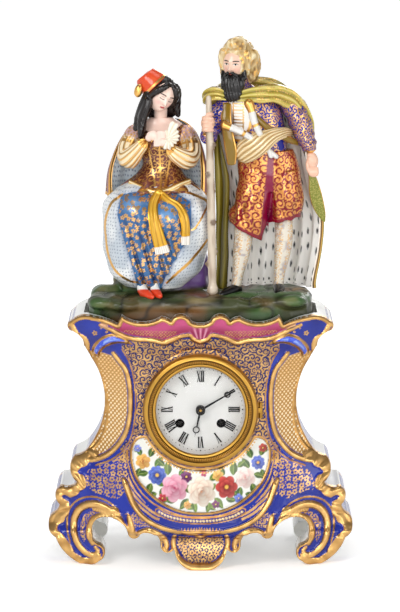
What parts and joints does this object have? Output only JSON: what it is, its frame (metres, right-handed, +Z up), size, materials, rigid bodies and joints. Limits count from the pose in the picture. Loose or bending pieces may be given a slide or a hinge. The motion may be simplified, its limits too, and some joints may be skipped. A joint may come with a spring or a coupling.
{
  "type": "figural clock",
  "caption": "Porcelain mantel clock with a scrolled cobalt and gilt case, a round enamel dial behind a hinged glazed bezel, and a seated and a standing costumed figure on a rock.",
  "frame": {"origin": "on the table, under the middle of the case", "axes": "+Z up, the dial faces -Y, +X to the viewer's right"},
  "size_m": [0.2832, 0.1421, 0.4889],
  "materials": {
    "gilt_porcelain": "glossy cobalt, pink and white glaze with gilding",
    "rock_glaze": "glossy green and brown glaze",
    "white_blue_glaze": "glossy white over blue with gilding",
    "red_glaze": "glossy orange red",
    "brown_gilt_glaze": "glossy brown with gilding",
    "flesh_glaze": "satin flesh tint",
    "black_glaze": "glossy black",
    "cream_gilt_glaze": "glossy cream with gilding",
    "yellow_glaze": "glossy yellow gilding",
    "white_glaze": "glossy white with painted spots",
    "crimson_gilt_glaze": "glossy crimson with gilding",
    "cobalt_gilt_glaze": "glossy cobalt with gilding",
    "gilt_brass": "polished gilt",
    "plate_brass": "satin",
    "steel": "polished",
    "bell_metal": "polished",
    "blued_steel": "black polished",
    "enamel": "glossy white enamel",
    "clear_glass": "clear"
  },
  "bodies": {
    "case": {"porcelain_case": "gilt_porcelain", "movement_ring": "gilt_brass", "hinge_pins": "gilt_brass", "rear_ring": "gilt_brass", "straps": "plate_brass", "front_plate": "plate_brass", "back_plate": "plate_brass", "pillars": "plate_brass", "fixing_screws": "steel", "clicks": "steel", "back_cock": "plate_brass", "dial": "enamel", "bell": "bell_metal", "bell_stand": "steel"},
    "figure_group": {"rock_base": "rock_glaze", "seated_skirt": "white_blue_glaze", "seated_shoes": "red_glaze", "seated_bodice": "brown_gilt_glaze", "seated_head": "flesh_glaze", "seated_hair": "black_glaze", "seated_fez": "red_glaze", "seated_arms": "cream_gilt_glaze", "seated_cape": "brown_gilt_glaze", "seated_sash": "yellow_glaze", "standing_legs": "white_glaze", "standing_breeches": "crimson_gilt_glaze", "standing_jacket": "cobalt_gilt_glaze", "standing_pistols": "cream_gilt_glaze", "waist_sash": "cream_gilt_glaze", "standing_head": "flesh_glaze", "standing_staff": "white_glaze", "standing_arms": "cobalt_gilt_glaze", "standing_cloak": "white_glaze", "standing_headcloth": "cream_gilt_glaze"},
    "bezel_door": {"front_bezel": "gilt_brass", "bezel_glass": "clear_glass"},
    "back_door": {"rear_door": "gilt_brass"},
    "centre_arbor": {"centre_wheel": "plate_brass", "cannon_pinion": "steel", "minute_hand": "blued_steel", "hand_nut": "plate_brass"},
    "hour_pipe": {"hour_wheel": "plate_brass", "hour_hand": "blued_steel"},
    "minute_arbor": {"minute_wheel": "plate_brass"},
    "intermediate_arbor": {"intermediate_wheel": "plate_brass"},
    "going_drum": {"going_barrel": "plate_brass"},
    "third_arbor": {"third_wheel": "plate_brass"},
    "escape_arbor": {"escape_wheel": "plate_brass"},
    "strike_drum": {"strike_barrel": "plate_brass"},
    "second_arbor": {"second_strike_wheel": "plate_brass"},
    "pin_arbor": {"pin_wheel": "plate_brass"},
    "stop_arbor": {"stop_wheel": "plate_brass"},
    "warning_arbor": {"warning_wheel": "plate_brass"},
    "fly_arbor": {"fly": "plate_brass"},
    "going_key_arbor": {"going_winding_arbor": "steel"},
    "strike_key_arbor": {"strike_winding_arbor": "steel"},
    "pendulum": {"pendulum_rod": "steel", "pendulum_bob": "plate_brass"},
    "anchor": {"pallet_anchor": "steel"},
    "hammer_arm": {"hammer": "steel"}
  },
  "joints": [
    {"name": "figure_lift", "type": "slide", "parent": "case", "child": "figure_group", "axis": [0, 0, 1], "range_m": [0, 0.06]},
    {"name": "bezel_hinge", "type": "hinge", "parent": "case", "child": "bezel_door", "pos_m": [0.0552, -0.05315, 0.147], "axis": [0, 0, 1], "range_deg": [0, 110]},
    {"name": "back_door_hinge", "type": "hinge", "parent": "case", "child": "back_door", "pos_m": [0.0552, 0.05615, 0.147], "axis": [0, 0, -1], "range_deg": [0, 110]},
    {"name": "third_turn", "type": "hinge", "parent": "case", "child": "third_arbor", "pos_m": [0.00673, 0, 0.15887], "axis": [0, 1, 0], "continuous": true},
    {"name": "centre_turn", "type": "hinge", "parent": "case", "child": "centre_arbor", "pos_m": [0, 0, 0.147], "axis": [0, 1, 0], "continuous": true},
    {"name": "hour_turn", "type": "hinge", "parent": "case", "child": "hour_pipe", "pos_m": [0, -0.045, 0.147], "axis": [0, 1, 0], "continuous": true},
    {"name": "minute_work_turn", "type": "hinge", "parent": "case", "child": "minute_arbor", "pos_m": [0.006, -0.041, 0.15739], "axis": [0, 1, 0], "continuous": true},
    {"name": "intermediate_turn", "type": "hinge", "parent": "case", "child": "intermediate_arbor", "pos_m": [-0.00082, 0, 0.13262], "axis": [0, 1, 0], "continuous": true},
    {"name": "going_drum_turn", "type": "hinge", "parent": "case", "child": "going_drum", "pos_m": [0.019, 0, 0.1337], "axis": [0, 1, 0], "continuous": true},
    {"name": "escape_turn", "type": "hinge", "parent": "case", "child": "escape_arbor", "pos_m": [0, 0, 0.168], "axis": [0, 1, 0], "continuous": true},
    {"name": "warning_turn", "type": "hinge", "parent": "case", "child": "warning_arbor", "pos_m": [-0.01751, 0, 0.17487], "axis": [0, 1, 0], "continuous": true},
    {"name": "stop_turn", "type": "hinge", "parent": "case", "child": "stop_arbor", "pos_m": [-0.01151, 0, 0.17027], "axis": [0, 1, 0], "continuous": true},
    {"name": "pin_turn", "type": "hinge", "parent": "case", "child": "pin_arbor", "pos_m": [-0.01751, 0, 0.16239], "axis": [0, 1, 0], "continuous": true},
    {"name": "second_turn", "type": "hinge", "parent": "case", "child": "second_arbor", "pos_m": [-0.0245, 0, 0.15277], "axis": [0, 1, 0], "continuous": true},
    {"name": "strike_drum_turn", "type": "hinge", "parent": "case", "child": "strike_drum", "pos_m": [-0.019, 0, 0.1337], "axis": [0, 1, 0], "continuous": true},
    {"name": "fly_turn", "type": "hinge", "parent": "case", "child": "fly_arbor", "pos_m": [-0.0119, 0, 0.17863], "axis": [0, 1, 0], "continuous": true},
    {"name": "going_winding", "type": "hinge", "parent": "case", "child": "going_key_arbor", "pos_m": [0.019, -0.04, 0.1337], "axis": [0, 1, 0], "range_deg": [0, 1620]},
    {"name": "strike_winding", "type": "hinge", "parent": "case", "child": "strike_key_arbor", "pos_m": [-0.019, -0.04, 0.1337], "axis": [0, 1, 0], "range_deg": [0, 1620]},
    {"name": "pendulum_swing", "type": "hinge", "parent": "case", "child": "pendulum", "pos_m": [0, 0.015, 0.1865], "axis": [0, 1, 0], "range_deg": [-4, 4]},
    {"name": "anchor_rock", "type": "hinge", "parent": "case", "child": "anchor", "pos_m": [0, 0, 0.18], "axis": [0, 1, 0], "range_deg": [-5.2, 5.2]},
    {"name": "hammer_lift", "type": "hinge", "parent": "case", "child": "hammer_arm", "pos_m": [-0.036, 0, 0.145], "axis": [0, 1, 0], "range_deg": [-12, 0]}
  ],
  "couplings": [
    {"joint": "centre_turn", "follows": "third_turn", "ratio": -0.083333},
    {"joint": "hour_turn", "follows": "third_turn", "ratio": -0.0069444},
    {"joint": "minute_work_turn", "follows": "third_turn", "ratio": 0.027778},
    {"joint": "intermediate_turn", "follows": "third_turn", "ratio": 0.011905},
    {"joint": "going_drum_turn", "follows": "third_turn", "ratio": -0.0019841},
    {"joint": "escape_turn", "follows": "third_turn", "ratio": -11},
    {"joint": "stop_turn", "follows": "warning_turn", "ratio": -0.125},
    {"joint": "pin_turn", "follows": "warning_turn", "ratio": 0.0125},
    {"joint": "second_turn", "follows": "warning_turn", "ratio": -0.0013889},
    {"joint": "strike_drum_turn", "follows": "warning_turn", "ratio": 0.00023148},
    {"joint": "fly_turn", "follows": "warning_turn", "ratio": -8},
    {"joint": "anchor_rock", "follows": "pendulum_swing", "ratio": 1.2708}
  ]
}
